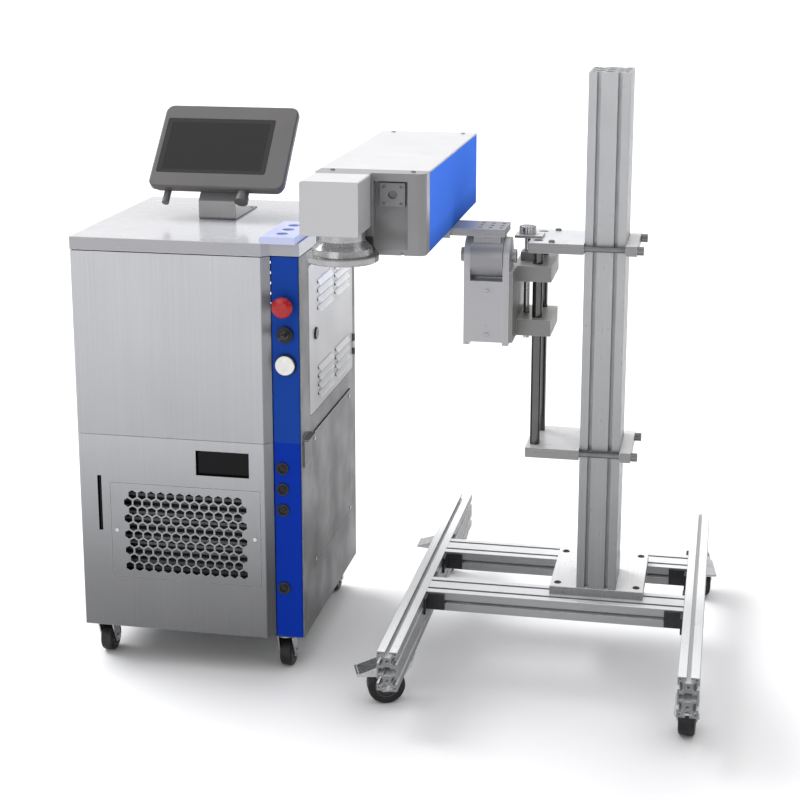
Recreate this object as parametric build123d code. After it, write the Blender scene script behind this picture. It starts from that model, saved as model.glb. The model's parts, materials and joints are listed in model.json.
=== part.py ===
from build123d import *
import math
import os

# Online laser coding machine: a wheeled control cabinet and, beside it, a wheeled stand of
# aluminium extrusion that carries the marking head. Millimetres, +Z up, front towards -Y.
# Places below are measured from the cabinet's front right corner on the floor; save() moves
# everything so that the origin is on the floor in the middle of the whole machine's footprint.

# ---- cabinet ----
CABINET_W = 470.0
CABINET_D = 500.0
BODY_BOTTOM = 80.0
BODY_TOP = 878.0
LID_BOTTOM = 880.0
LID_TOP = 906.0
SEAM_Z = 497.0
SHEET = 2.0
GAP = 0.6
LEFT = -CABINET_W
CHAMFER_X = -75.0
STRIP_LEFT = -60.0
STRIP_FRONT = 15.0
FOLD_RADIUS = 2.5

# ---- front fittings ----
VENT_X = -244.6
VENT_Z = 293.0
VENT_W = 320.0
VENT_H = 206.0
HEX_PITCH = 20.4
HEX_ROW = 17.4
HEX_ROWS = 10
HEX_FLAT = 17.0
SCREW_SPAN = 295.0
WINDOW = (-219.0, -107.0, 422.0, 475.0)
LEVEL = (-431.5, -422.5, 290.0, 409.0)
BUTTON_X = -31.0
ESTOP_Z = 781.0
KEY_Z = 722.0
START_Z = 660.0
SOCKET_X = -41.0
SOCKET_Z = (443.5, 399.5, 355.0, 187.0)
PANEL_HOLE_R = 11.2
SOCKET_R = 13.0

# ---- side door and cover ----
DOOR_Y = (86.0, 472.0)
DOOR_Z = (534.5, 846.5)
DOOR_GAP = 1.5
DOOR_CORNER = 8.0
HINGE_X = 3.2
BARREL_R = 3.0
PIN_R = 1.5
HINGE_ZS = (590.0, 791.0)
KNUCKLE = 16.0
LOCK_Y = 136.0
LOCK_Z = 697.0
LOUVRE_W = 114.0
LOUVRE_YS = (152.0, 303.0)
LOUVRE_TOPS = (571.5, 753.0)
LOUVRE_PITCH = 18.4
JAMB_DEPTH = 8.0
COVER_Y = (106.0, 446.0)
COVER_Z = (206.0, 495.0)
CATCH_Y = (20.0, 77.0)
CATCH_Z = 500.0

# ---- cable rack ----
RACK_X = -38.5
RACK_YS = (34.0, 80.0, 126.0)
RACK_HOLE_R = 12.5
RACK_PLATE = (-76.0, -4.0, -6.0, 170.0)
RACK_T = 14.0
RACK_LIFT = 1.0

# ---- fan ----
FAN_X = -245.0
FAN_Z = 293.0
FAN_R = 105.0

# ---- modules inside the cabinet, as (x0, x1, y0, y1, z0, z1) ----
CONDENSER = (-398.0, -92.0, 34.0, 60.0, 198.0, 388.0)
FAN_SHROUD = (-375.0, -115.0, 62.0, 108.0, 170.0, 416.0)
COOLANT_TANK = (-440.0, -250.0, 200.0, 460.0, 90.0, 300.0)
POWER_SUPPLY = (-230.0, -120.0, 250.0, 460.0, 90.0, 190.0)
CONTROLLER = (-440.0, -60.0, 250.0, 450.0, 560.0, 680.0)
LASER_DRIVER = (-440.0, -240.0, 250.0, 450.0, 700.0, 800.0)
SHELF_Z = 552.0
FIN_PITCH = 13.3
FINS = 14

# ---- screen ----
SCREEN_X = -236.0
SCREEN_W = 294.0
SCREEN_H = 214.0
SCREEN_T = 32.0
SCREEN_TILT = 44.0
FACE_MID = (298.5, 1053.5)
GLASS_W = 238.0
GLASS_H = 142.0
GLASS_SHIFT = -17.0
POST_W = 80.0
POST_Y = 241.0

# ---- stand ----
PITCH = 40.0
SLOT_W = 8.0
RAIL_LEFT_X = 222.0
RAIL_RIGHT_X = 784.0
RAIL_Y = (-222.0, 691.0)
RAIL_BOTTOM = 95.0
RAIL_TOP = RAIL_BOTTOM + 2 * PITCH
BAR_YS = (123.0, 350.0)
PLATE_T = 18.0
PLATE_TOP = RAIL_TOP + PLATE_T
BASE_PLATE = (491.0, 681.0, 118.0, 337.0)
BRACKET_T = 5.0
BRACKET_WALL = 35.0
BRACKET_FOOT = 38.0
COLUMN_X = 586.0
COLUMN_Y = 178.0
COLUMN_TOP = 1239.0
COLUMN_LEFT = COLUMN_X - PITCH
COLUMN_RIGHT = COLUMN_X + PITCH

# ---- clamp arms, guide rods and carriage ----
ARM_LEFT = 438.0
ARM_Y = (100.0, 256.0)
ARM_T = 20.0
ARM_ZS = (471.0, 888.0)
BAR_T = 22.0
SLIDE_GAP = 0.2
CLAMP_ROD_R = 5.5
CLAMP_YS = (109.0, 247.0)
GUIDE_X = 454.0
GUIDE_YS = (132.0, 229.0)
GUIDE_R = 10.0
RUN_FIT = 0.05
CARRIAGE_X = (408.5, 484.0)
CARRIAGE_Y = (103.0, 239.0)
CARRIAGE_PLATE = 8.0
BLOCK_ZS = ((721.0, 753.0), (830.0, 861.0))
SCREW_X = 428.0
SCREW_Y = 171.0
SCREW_R = 6.0
SHELF_T = 5.0
KNOB_R = 17.0
KNOB_H = 16.0

# ---- tilt yoke and head mount ----
TILT_Y = 76.5
TILT_Z = 885.5
EAR_HALF = 37.5
EAR_T = 12.0
EAR_BOTTOM = 714.0
EAR_LEFT_X = 321.0
EAR_RIGHT_X = 396.5
DRUM_R = 42.5
PIVOT_R = 8.0
HEAD_PLATE = (150.5, 399.0, 40.5, 130.0)
HEAD_PLATE_Z = (928.5, 943.0)
GRID_X = 369.0
GRID_Y = 85.0
GRID_DX = 20.5
GRID_DY = 24.5
GRID_HOLE_R = 4.5

# ---- laser head ----
HEAD_X = (99.0, 297.0)
HEAD_Y = (-244.0, 346.0)
HEAD_TOP = 1089.0
GALVO_X = (99.0, 202.0)
GALVO_Y = (-359.0, -244.0)
GALVO_BOTTOM = 994.5
LENS_X = 158.0
LENS_Y = -290.0
LENS_FLANGE_R = 64.5
FLANGE_X = 232.0
FLANGE_Z = 1049.0
SIDE_COVER_T = 3.0
TOP_COVER_T = 3.0
BODY_WALL = 3.0
BODY_FLOOR = 6.0
CAP_CORNER_R = 14.0
LASER_BLOCK = (165.0, 235.0, -110.0, 190.0)
LASER_H = 50.0
GALVO_WALL = 5.0
MOTOR_R = 15.0
CAP_LENGTH = 42.0
SCOOP_DEPTH = 24.0
SCOOP_W = 62.0

# ---- casters ----
CAB_CASTER = {"wheel_r": 30.0, "wheel_w": 26.0, "trail": 18.0, "plate": 46.0,
              "axle_r": 4.0, "leg_gap": 1.4, "brake": False}
STAND_CASTER = {"wheel_r": 37.5, "wheel_w": 32.0, "trail": 36.0, "plate": 40.0,
                "axle_r": 4.0, "leg_gap": 1.6, "brake": True}
PLATE_THICK = 3.0
KINGPIN_R = 5.0
PEDAL_PIVOT = 6.0
PEDAL_PIVOT_Z = 74.0
PEDAL_PIN_R = 2.0
PEDAL_REACH = 58.0
CAB_CASTERS = {"front_left": (-438, 40, 90), "front_right": (-45, 40, 90),
               "rear_left": (-438, 452, 90), "rear_right": (-45, 452, 90)}
STAND_CASTERS = {"front_left": (RAIL_LEFT_X, -58, 200), "front_right": (RAIL_RIGHT_X, -58, -92),
                 "rear_left": (RAIL_LEFT_X, 625, 180), "rear_right": (RAIL_RIGHT_X, 640, -78)}

LOW = (Align.MIN, Align.MIN, Align.MIN)
BASE = (Align.CENTER, Align.CENTER, Align.MIN)


def block(x0, x1, y0, y1, z0, z1):
    """Box between two corners."""
    return Pos(x0, y0, z0) * Box(x1 - x0, y1 - y0, z1 - z0, align=LOW)


def rod_z(x, y, z0, z1, r):
    return Pos(x, y, z0) * Cylinder(r, z1 - z0, align=BASE)


def rod_y(x, z, y0, y1, r):
    return Pos(x, y0, z) * Rot(-90, 0, 0) * Cylinder(r, y1 - y0, align=BASE)


def rod_x(y, z, x0, x1, r):
    return Pos(x0, y, z) * Rot(0, 90, 0) * Cylinder(r, x1 - x0, align=BASE)


def prism_z(points, z0, z1):
    """Vertical prism over a polygon given as XY points."""
    return Pos(0, 0, z0) * extrude(make_face(Polyline(*points, close=True)), z1 - z0)


def prism_y(points, y0, y1):
    """Prism along Y over a polygon given as XZ points."""
    face = make_face(Plane.XZ * Polyline(*points, close=True))
    return Pos(0, y0, 0) * extrude(face, y1 - y0, dir=(0, 1, 0))


def folded(points, z0, z1, thickness=SHEET, radius=FOLD_RADIUS):
    """Upright folded sheet along a centre line of XY points."""
    section = trace(FilletPolyline(*points, radius=radius), thickness)
    return Pos(0, 0, z0) * extrude(section, z1 - z0)


def rounded_plate_yz(y0, y1, z0, z1, x0, x1, radius):
    """Plate across X with rounded corners."""
    face = Plane.YZ * Pos((y0 + y1) / 2, (z0 + z1) / 2) * RectangleRounded(y1 - y0, z1 - z0, radius)
    return Pos(x0, 0, 0) * extrude(face, x1 - x0, dir=(1, 0, 0))


def hex_screw(x, y, z, r, height):
    """Cap screw head standing on z, with a hexagon socket."""
    head = rod_z(x, y, z, z + height, r)
    socket = Pos(x, y, z + height * 0.4) * extrude(RegularPolygon(r * 0.5, 6), height)
    return head - socket


def solids_of(items):
    found = []
    for item in items:
        found.extend(item.solids())
    return found


def footprint_middle():
    """Middle of the box around the whole machine, from its outermost pieces."""
    outermost = make_pedal(*STAND_CASTERS["rear_right"], STAND_CASTER)[0]
    right = outermost.bounding_box().max.X
    return (LEFT + right) / 2, (GALVO_Y[0] + RAIL_Y[1]) / 2


def save(node, *items):
    """Write one node, with each of its pieces as a separate solid, moved to the shared origin."""
    pieces = [Pos(-ORIGIN_X, -ORIGIN_Y, 0) * solid for solid in solids_of(items)]
    shape = pieces[0] if len(pieces) == 1 else Compound(children=pieces)
    export_step(shape, "parts/" + node + ".step")


# ======================= cabinet =======================

def outline(inset, front_inset):
    """Cabinet plan with the corner set back for the control strip."""
    turn = inset * math.tan(math.radians(22.5))
    return [(LEFT + inset, front_inset), (CHAMFER_X - turn, front_inset),
            (STRIP_LEFT - turn, STRIP_FRONT + inset), (-inset, STRIP_FRONT + inset),
            (-inset, CABINET_D - inset), (LEFT + inset, CABINET_D - inset)]


def make_base_frame():
    """Floor pan, corner posts, top ring and the fixed plates of the casters."""
    edge = SHEET + GAP
    step_y = STRIP_FRONT + 21
    pan = prism_z([(LEFT + edge, edge), (CHAMFER_X - 2, edge), (STRIP_LEFT - 5, step_y), (-edge, step_y),
                   (-edge, CABINET_D - edge), (LEFT + edge, CABINET_D - edge)],
                  BODY_BOTTOM, BODY_BOTTOM + 3)
    posts = []
    post_top = LID_TOP - 22
    for x, sx, front in ((LEFT + 4, 1, 24), (-16, -1, 52)):
        for y, sy in ((front, 1), (CABINET_D - 4, -1)):
            leg_a = block(min(x, x + sx * 25), max(x, x + sx * 25), min(y, y + sy * 3),
                          max(y, y + sy * 3), BODY_BOTTOM + 3, post_top)
            leg_b = block(min(x, x + sx * 3), max(x, x + sx * 3), min(y, y + sy * 25),
                          max(y, y + sy * 25), BODY_BOTTOM + 3, post_top)
            posts.append(leg_a + leg_b)
    ring_top = LID_TOP - SHEET
    ring = [block(LEFT + 4, LEFT + 29, 24, CABINET_D - 4, post_top, ring_top),
            block(-41, -16, 52, CABINET_D - 4, post_top, ring_top),
            block(LEFT + 29, -41, 24, 49, post_top, ring_top),
            block(LEFT + 29, -41, CABINET_D - 29, CABINET_D - 4, post_top, ring_top)]
    for y in RACK_YS:
        ring = [bar - rod_z(RACK_X, y, post_top - 1, ring_top + 1, RACK_HOLE_R + 1.5) for bar in ring]
    plates = [caster_plate(x, y, BODY_BOTTOM, CAB_CASTER) for x, y, turn in CAB_CASTERS.values()]
    return [pan, *posts, *ring, *plates]


def make_front_panel(z0, z1):
    path = [(LEFT + 1, 22), (LEFT + 1, 1), (CHAMFER_X - 0.4, 1), (STRIP_LEFT - 0.7, 15.7)]
    return folded(path, z0, z1)


def make_lower_front():
    """Lower front sheet with its vent, display and level openings."""
    panel = make_front_panel(BODY_BOTTOM, SEAM_Z - 0.5)
    half_w = VENT_W / 2
    half_h = VENT_H / 2
    panel -= block(VENT_X - half_w, VENT_X + half_w, -1, 4, VENT_Z - half_h, VENT_Z + half_h)
    for x0, x1, z0, z1 in (WINDOW, LEVEL):
        panel -= block(x0, x1, -1, 4, z0, z1)
    return panel


def hex_points():
    """Centres of the grille's holes, in rows that hold one hole more or less in turn."""
    centres = []
    for row in range(HEX_ROWS):
        count = 12 + row % 2
        z = VENT_Z + (HEX_ROWS - 1) * HEX_ROW / 2 - row * HEX_ROW
        for column in range(count):
            centres.append((VENT_X + (column - (count - 1) / 2) * HEX_PITCH, z))
    return centres


def make_vent_grille():
    margin = 0.8
    half_w = VENT_W / 2 - margin
    half_h = VENT_H / 2 - margin
    sheet = Rectangle(2 * half_w, 2 * half_h)
    holes = [Pos(x - VENT_X, z - VENT_Z) * RegularPolygon(HEX_FLAT / 2, 6, major_radius=False, rotation=30)
             for x, z in hex_points()]
    sheet -= Sketch() + holes
    for side in (-1, 1):
        sheet -= Pos(side * SCREW_SPAN / 2, 0) * Circle(2.6)
    return Pos(VENT_X, SHEET, VENT_Z) * Rot(90, 0, 0) * extrude(sheet, SHEET)


def make_front_windows():
    """Display module and level tube, each set back behind its opening."""
    x0, x1, z0, z1 = WINDOW
    case = block(x0 - 6, x1 + 6, 2.2, 30, z0 - 6, z1 + 6) - block(x0, x1, 2, 12, z0, z1)
    glass = block(x0 + 0.5, x1 - 0.5, 9, 11.8, z0 + 0.5, z1 - 0.5)
    lx0, lx1, lz0, lz1 = LEVEL
    middle = (lx0 + lx1) / 2
    tube = rod_z(middle, 9, lz0 - 12, lz1 + 12, 5.5) - rod_z(middle, 9, lz0 - 8, lz1 + 8, 4.3)
    back = block(lx0 - 5, lx1 + 5, 15, 17, lz0 - 12, lz1 + 12)
    return [case, glass, tube, back]


def make_control_strip():
    path = [(STRIP_LEFT + 1.6, 34), (STRIP_LEFT + 1.6, STRIP_FRONT + 1), (-3.4, STRIP_FRONT + 1),
            (-3.4, 30)]
    strip = folded(path, BODY_BOTTOM, BODY_TOP)
    for z in (ESTOP_Z, KEY_Z, START_Z):
        strip -= rod_y(BUTTON_X, z, 10, 20, PANEL_HOLE_R)
    for z in SOCKET_Z:
        strip -= rod_y(SOCKET_X, z, 10, 20, SOCKET_R - 2)
    return strip


def ring_y(x, z, y0, y1, outer, inner):
    return rod_y(x, z, y0, y1, outer) - rod_y(x, z, y0 - 1, y1 + 1, inner)


def make_strip_fittings():
    """Collars of the three operators, and the round cable connectors."""
    front = STRIP_FRONT
    pieces = []
    estop = ring_y(BUTTON_X, ESTOP_Z, front - 9, front, 14.5, 8.0)
    estop += ring_y(BUTTON_X, ESTOP_Z, front, front + 32, 11.0, 8.0)
    key = ring_y(BUTTON_X, KEY_Z, front - 7, front, 16.5, 8.0)
    key += ring_y(BUTTON_X, KEY_Z, front, front + 32, 11.0, 8.0)
    start = ring_y(BUTTON_X, START_Z, front - 4, front, 22.0, 20.3)
    start += ring_y(BUTTON_X, START_Z, front - 1.5, front, 21.0, 8.0)
    start += ring_y(BUTTON_X, START_Z, front, front + 32, 11.0, 8.0)
    pieces.extend([estop, key, start])
    for z in SOCKET_Z:
        nut = ring_y(SOCKET_X, z, front - 3, front, SOCKET_R, SOCKET_R - 3.2)
        body = rod_y(SOCKET_X, z, front - 2, front + 26, SOCKET_R - 3.3)
        body -= ring_y(SOCKET_X, z, front - 3, front + 1, 8.4, 6.0)
        for pin in range(4):
            angle = math.radians(45 + 90 * pin)
            body -= rod_y(SOCKET_X + 3 * math.cos(angle), z + 3 * math.sin(angle),
                          front - 3, front + 1, 0.9)
        pieces.extend([nut, body])
    return pieces


def make_estop():
    """Mushroom head on a stem that slides in the collar."""
    front = STRIP_FRONT
    stem = rod_y(BUTTON_X, ESTOP_Z, front - 16, front + 24, 7.95)
    profile = [(0, 0), (15, 0), (21, 3), (21, 8.5), (18.5, 12), (12, 14.3), (0, 15)]
    cap = revolve(make_face(Plane.XZ * Polyline(*profile, close=True)), Axis.Z)
    cap = Pos(BUTTON_X, front - 15.5, ESTOP_Z) * Rot(90, 0, 0) * cap
    return [stem + cap]


def make_key():
    front = STRIP_FRONT
    barrel = rod_y(BUTTON_X, KEY_Z, front - 8.5, front + 24, 7.95)
    blade = block(-1.4, 1.4, front - 17, front - 8, -4.5, 4.5)
    bow = block(-2.2, 2.2, front - 31, front - 16, -10, 10)
    bow = fillet(bow.edges().filter_by(Axis.X), 4.5)
    bow -= rod_x(front - 25, 0, -3, 3, 3.0)
    turned = Pos(BUTTON_X, 0, KEY_Z) * Rot(0, 60, 0) * (blade + bow)
    return [barrel + turned]


def make_start():
    front = STRIP_FRONT
    stem = rod_y(BUTTON_X, START_Z, front - 5, front + 24, 7.95)
    cap = rod_y(BUTTON_X, START_Z, front - 10, front - 5, 20.0)
    cap = chamfer(cap.edges().group_by(Axis.Y)[0], 1.2)
    return [stem + cap]


def make_left_panel():
    return block(LEFT, LEFT + SHEET, 22 + GAP, CABINET_D, BODY_BOTTOM, BODY_TOP)


def make_rear_panel():
    """Rear sheet with rows of vent slots."""
    panel = block(LEFT + SHEET + GAP, -SHEET - GAP, CABINET_D - SHEET, CABINET_D, BODY_BOTTOM, BODY_TOP)
    for column in range(6):
        for row in range(8):
            x = LEFT + 75 + column * 62
            z = 620 + row * 24
            slot = block(x - 20, x + 20, CABINET_D - 5, CABINET_D + 5, z - 3, z + 3)
            panel -= fillet(slot.edges().filter_by(Axis.Y), 2.9)
    return panel


def jamb(y0, y1, z0, z1, depth):
    """Inward flange around an opening in the side wall."""
    outer = block(-SHEET - depth, -SHEET, y0 - 2, y1 + 2, z0 - 2, z1 + 2)
    return outer - rounded_plate_yz(y0, y1, z0, z1, -SHEET - depth - 1, 1, DOOR_CORNER)


def side_wall_bars():
    """The side wall cut into three rails and four stiles around its two openings."""
    front = STRIP_FRONT
    back = CABINET_D - SHEET - GAP
    wall = block(-SHEET, 0, front, back, BODY_BOTTOM, BODY_TOP)
    bars = []
    rail_low = BODY_BOTTOM
    for ys, zs in ((COVER_Y, COVER_Z), (DOOR_Y, DOOR_Z)):
        y0, y1, z0, z1 = ys[0] - DOOR_GAP, ys[1] + DOOR_GAP, zs[0] - DOOR_GAP, zs[1] + DOOR_GAP
        wall -= rounded_plate_yz(y0, y1, z0, z1, -5, 1, DOOR_CORNER)
        wall += jamb(y0, y1, z0, z1, JAMB_DEPTH)
        stile_low, stile_high = z0 + DOOR_CORNER, z1 - DOOR_CORNER
        bars.append(block(-20, 0, front, back, rail_low, stile_low))
        bars.append(block(-20, 0, front, y0, stile_low, stile_high))
        bars.append(block(-20, 0, y1, back, stile_low, stile_high))
        rail_low = stile_high
    bars.append(block(-20, 0, front, back, rail_low, BODY_TOP))
    return [wall & bar for bar in bars]


def make_right_panel():
    """Side wall with two framed openings, the hinges' fixed leaves and the catch."""
    hinges = [fixed_hinge(z) for z in HINGE_ZS]
    upright = block(0, 4.5, CATCH_Y[0] + 2, CATCH_Y[1] - 1, CATCH_Z - 54, CATCH_Z)
    cap = prism_y([(0, CATCH_Z), (13, CATCH_Z), (13, CATCH_Z + 3), (0, CATCH_Z + 6)], *CATCH_Y)
    return [*side_wall_bars(), *hinges, upright + cap]


def hinge_axis_y():
    return DOOR_Y[1] + DOOR_GAP / 2


def fixed_hinge(z):
    """Leaf, two end knuckles and the pin, fixed to the side wall."""
    y = hinge_axis_y()
    leaf = block(0, 1.2, y + 0.6, y + 15, z - 1.5 * KNUCKLE, z + 1.5 * KNUCKLE)
    for low in (z - 1.5 * KNUCKLE, z + 0.5 * KNUCKLE):
        leaf += rod_z(HINGE_X, y, low + 0.2, low + KNUCKLE - 0.2, BARREL_R)
        leaf += block(0, HINGE_X, y + 0.6, y + BARREL_R - 0.1, low + 0.2, low + KNUCKLE - 0.2)
    leaf -= block(-1, HINGE_X + 4, y - 4, y + 4, z - 0.5 * KNUCKLE, z + 0.5 * KNUCKLE)
    return leaf + rod_z(HINGE_X, y, z - 1.5 * KNUCKLE + 0.2, z + 1.5 * KNUCKLE - 0.2, PIN_R)


def door_hinge(z):
    """Leaf and middle knuckle on the door."""
    y = hinge_axis_y()
    leaf = block(0, 1.2, y - 15, y - 0.6, z - 0.5 * KNUCKLE + 0.3, z + 0.5 * KNUCKLE - 0.3)
    leaf += block(0, HINGE_X, y - BARREL_R + 0.1, y - 0.6, z - 0.5 * KNUCKLE + 0.3,
                  z + 0.5 * KNUCKLE - 0.3)
    leaf += rod_z(HINGE_X, y, z - 0.5 * KNUCKLE + 0.3, z + 0.5 * KNUCKLE - 0.3, BARREL_R)
    return leaf - rod_z(HINGE_X, y, z - KNUCKLE, z + KNUCKLE, PIN_R + RUN_FIT)


def louvre(y0, z_top):
    """Pressed hood, open below and at both ends."""
    drop = 13.0
    out = 8.0
    skin = 1.4
    points = [(-1, z_top), (out, z_top - drop), (out, z_top - drop - skin), (-1, z_top - 2 * skin)]
    return prism_y(points, y0, y0 + LOUVRE_W)


def make_upper_door():
    """Folded tray with louvres, a cam lock hole and its hinge leaves."""
    y0, y1 = DOOR_Y
    z0, z1 = DOOR_Z
    door = rounded_plate_yz(y0, y1, z0, z1, -SHEET, 0, DOOR_CORNER)
    rim = rounded_plate_yz(y0, y1, z0, z1, -9, -SHEET, DOOR_CORNER)
    rim -= rounded_plate_yz(y0 + SHEET, y1 - SHEET, z0 + SHEET, z1 - SHEET, -10, 0, DOOR_CORNER - SHEET)
    door += rim
    hoods = []
    for bottom in LOUVRE_TOPS:
        for y in LOUVRE_YS:
            for row in range(4):
                top = bottom + row * LOUVRE_PITCH
                door -= block(-4, 1, y + 1, y + LOUVRE_W - 1, top - 12, top - 2.2)
                hoods.append(louvre(y, top))
    for hood in hoods:
        door += hood
    door -= rod_x(LOCK_Y, LOCK_Z, -6, 2, 9.5)
    for z in HINGE_ZS:
        door += door_hinge(z)
    return door


def make_door_lock():
    """Round cam lock: rosette, barrel and the tongue that passes behind the jamb when turned."""
    rosette = rod_x(LOCK_Y, LOCK_Z, 0.3, 4.5, 12.5)
    rosette = fillet(rosette.edges().group_by(Axis.X)[-1], 1.5)
    rosette -= block(3, 6, LOCK_Y - 1.2, LOCK_Y + 1.2, LOCK_Z - 5, LOCK_Z + 5)
    barrel = rod_x(LOCK_Y, LOCK_Z, -12, 0.3, 9.45)
    tongue = block(-12.6, -10.6, LOCK_Y - 8, LOCK_Y + 8, LOCK_Z - 10, LOCK_Z + 60)
    return [rosette + barrel + tongue]


def make_service_cover():
    """Lower side cover, screwed at its corners, with a folded lip along its top edge."""
    y0, y1 = COVER_Y
    z0, z1 = COVER_Z
    cover = rounded_plate_yz(y0, y1, z0, z1, -SHEET, 0, DOOR_CORNER)
    cover += block(-SHEET, 3, y0 + 6, y1 - 6, z1 - 2.5, z1)
    cover -= block(-4, 1, y0 + 14, y0 + 17, z1 - 38, z1 - 24)
    return cover


def make_top_lid():
    """Flat top with the cable rack's holes carried through it, over four folded skirts."""
    top = prism_z(outline(0, 0), LID_TOP - SHEET, LID_TOP)
    for y in RACK_YS:
        top -= rod_z(RACK_X, y, LID_BOTTOM, LID_TOP + 1, RACK_HOLE_R + 1)
    skirt_top = LID_TOP - SHEET
    ring = prism_z(outline(0, 0), LID_BOTTOM, skirt_top)
    ring -= prism_z(outline(SHEET, SHEET), LID_BOTTOM, skirt_top)
    side_front = STRIP_FRONT + SHEET
    sides = [block(LEFT, LEFT + SHEET, SHEET, CABINET_D, LID_BOTTOM, skirt_top),
             block(-SHEET, 0, side_front, CABINET_D, LID_BOTTOM, skirt_top),
             block(LEFT + SHEET, -SHEET, CABINET_D - SHEET, CABINET_D, LID_BOTTOM, skirt_top),
             block(LEFT, 0, 0, side_front, LID_BOTTOM, skirt_top)]
    front = ring & sides[3]
    return [top, *sides[:3], front]


def make_cable_rack():
    """Plate with three cable holes, round at its front and left edges, on two spacers."""
    x0, x1, y0, y1 = RACK_PLATE
    z0 = LID_TOP + RACK_LIFT
    z1 = z0 + RACK_T
    slab = block(x0, x1, y0, y1, z0, z1)
    slab = fillet(slab.edges().filter_by(Axis.Y).group_by(Axis.X)[0], 6.0)
    for y in RACK_YS:
        slab -= rod_z(RACK_X, y, z0 - 1, z1 + 1, RACK_HOLE_R)
    pads = [block(x0 + 18, x1 - 20, y, y + 14, LID_TOP, z0) for y in (15, 140)]
    return [slab, *pads]


def make_inner_modules():
    """Condenser, fan frame and motor, coolant tank, power supply and controller."""
    x0, x1, y0, y1, z0, z1 = CONDENSER
    core = block(*CONDENSER)
    for step in range(FINS):
        z = z0 + 6 + step * FIN_PITCH
        core -= block(x0 + 5, x1 - 5, y0 - 1, y1 - 8, z, z + 8)
    shroud = block(*FAN_SHROUD) - rod_y(FAN_X, FAN_Z, 60, 110, FAN_R + 4)
    bridge = block(FAN_X - 6, FAN_X + 6, 108, 112, FAN_Z - 122, FAN_Z + 122)
    motor = rod_y(FAN_X, FAN_Z, 112, 150, 32) + bridge
    axle = rod_y(FAN_X, FAN_Z, 74, 112, 3)
    tank = fillet(block(*COOLANT_TANK).edges(), 12)
    shelf = block(LEFT + 8, -40, 120, CABINET_D - 10, SHELF_Z, SHELF_Z + 3)
    boxes = [block(*box) for box in (POWER_SUPPLY, CONTROLLER, LASER_DRIVER)]
    return [core, shroud, motor + axle, tank, *boxes, shelf]


def make_fan_rotor():
    hub = rod_y(FAN_X, FAN_Z, 78, 104, 26) - rod_y(FAN_X, FAN_Z, 70, 110, 3 + RUN_FIT)
    blade = Pos(FAN_X, 91, FAN_Z + 62) * Rot(0, 0, 32) * Box(46, 2.5, 80)
    for turn in range(5):
        spun = Pos(FAN_X, 0, FAN_Z) * Rot(0, 72 * turn, 0) * Pos(-FAN_X, 0, -FAN_Z) * blade
        hub += spun
    return hub


def make_cabinet_screws():
    """Screws of the vent grille, service cover and screen foot."""
    pieces = []
    for side in (-1, 1):
        x = VENT_X + side * SCREW_SPAN / 2
        pieces.append(rod_y(x, VENT_Z, -1.6, 0, 4.0) + rod_y(x, VENT_Z, 0, 10, 2.5))
    for y in (COVER_Y[0] + 11, COVER_Y[1] - 11):
        for z in (COVER_Z[0] + 9, COVER_Z[1] - 17):
            pieces.append(rod_x(y, z, 0, 1.6, 3.5))
    for x in (SCREEN_X - 32, SCREEN_X + 32):
        pieces.append(rod_z(x, POST_Y + 146, LID_TOP + 3, LID_TOP + 5, 4.0))
    return pieces


# ======================= screen =======================

def screen_frame(shape):
    """Place a shape drawn face-up in the screen's own frame: X right, Y up the face, Z out of it."""
    return Pos(SCREEN_X, FACE_MID[0], FACE_MID[1]) * Rot(90 - SCREEN_TILT, 0, 0) * shape


def make_screen_housing():
    """Tapered shell with a recess for the glass, and the plugs under it."""
    front = Pos(0, 0, -14) * extrude(RectangleRounded(SCREEN_W, SCREEN_H, 18), 14)
    front = chamfer(front.edges().group_by(Axis.Z)[-1], 3.0)
    back = Pos(0, 0, -SCREEN_T) * extrude(RectangleRounded(SCREEN_W - 14, SCREEN_H - 14, 14), SCREEN_T - 14)
    back = chamfer(back.edges().group_by(Axis.Z)[0], 4.0)
    shell = front + back
    shell -= Pos(GLASS_SHIFT, 0, -3) * extrude(RectangleRounded(GLASS_W + 0.6, GLASS_H + 0.6, 5), 5)
    left = Pos(-106, -SCREEN_H / 2 + 7, -20) * Rot(90, 0, 0) * Cylinder(7.5, 36, align=BASE)
    right = Pos(58, -SCREEN_H / 2 + 7, -18) * Rot(90, 0, 0) * Cylinder(13, 18, align=BASE)
    right_tip = Pos(58, -SCREEN_H / 2 - 11, -18) * Rot(90, 0, 0) * Cylinder(14.5, 12, align=BASE)
    plugs = [screen_frame(left), screen_frame(right + right_tip)]
    return [screen_frame(shell), *plugs]


def make_screen_glass():
    glass = Pos(GLASS_SHIFT, 0, -3) * extrude(RectangleRounded(GLASS_W, GLASS_H, 5), 3.2)
    return screen_frame(glass)


def make_screen_post():
    """One folded sheet: foot on the lid, short riser and a neck along the screen's back."""
    slope = math.radians(SCREEN_TILT + 2)
    riser_top = 944.0
    reach = 118.0
    neck = (POST_Y + reach * math.cos(slope), riser_top + reach * math.sin(slope))
    path = FilletPolyline((POST_Y + 162, LID_TOP + 1.5), (POST_Y, LID_TOP + 1.5),
                          (POST_Y, riser_top), neck, radius=4)
    section = Plane.YZ * trace(path, 3)
    sheet = Pos(SCREEN_X - POST_W / 2, 0, 0) * extrude(section, POST_W, dir=(1, 0, 0))
    return sheet


# ======================= casters =======================

def caster_plate(x, y, top, kind):
    """Fixed top plate with its kingpin and the rivet head that holds the fork."""
    half = kind["plate"] / 2
    low = top - PLATE_THICK
    plate = block(x - half, x + half, y - half, y + half, low, top)
    plate += rod_z(x, y, low - 6.6, low, KINGPIN_R)
    return plate + rod_z(x, y, low - 8.6, low - 5.6, KINGPIN_R + 2.0)


def caster_place(x, y, turn, shape):
    """Turn a caster drawn with its wheel trailing along +X to its own direction."""
    return Pos(x, y, 0) * Rot(0, 0, turn) * shape


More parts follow.
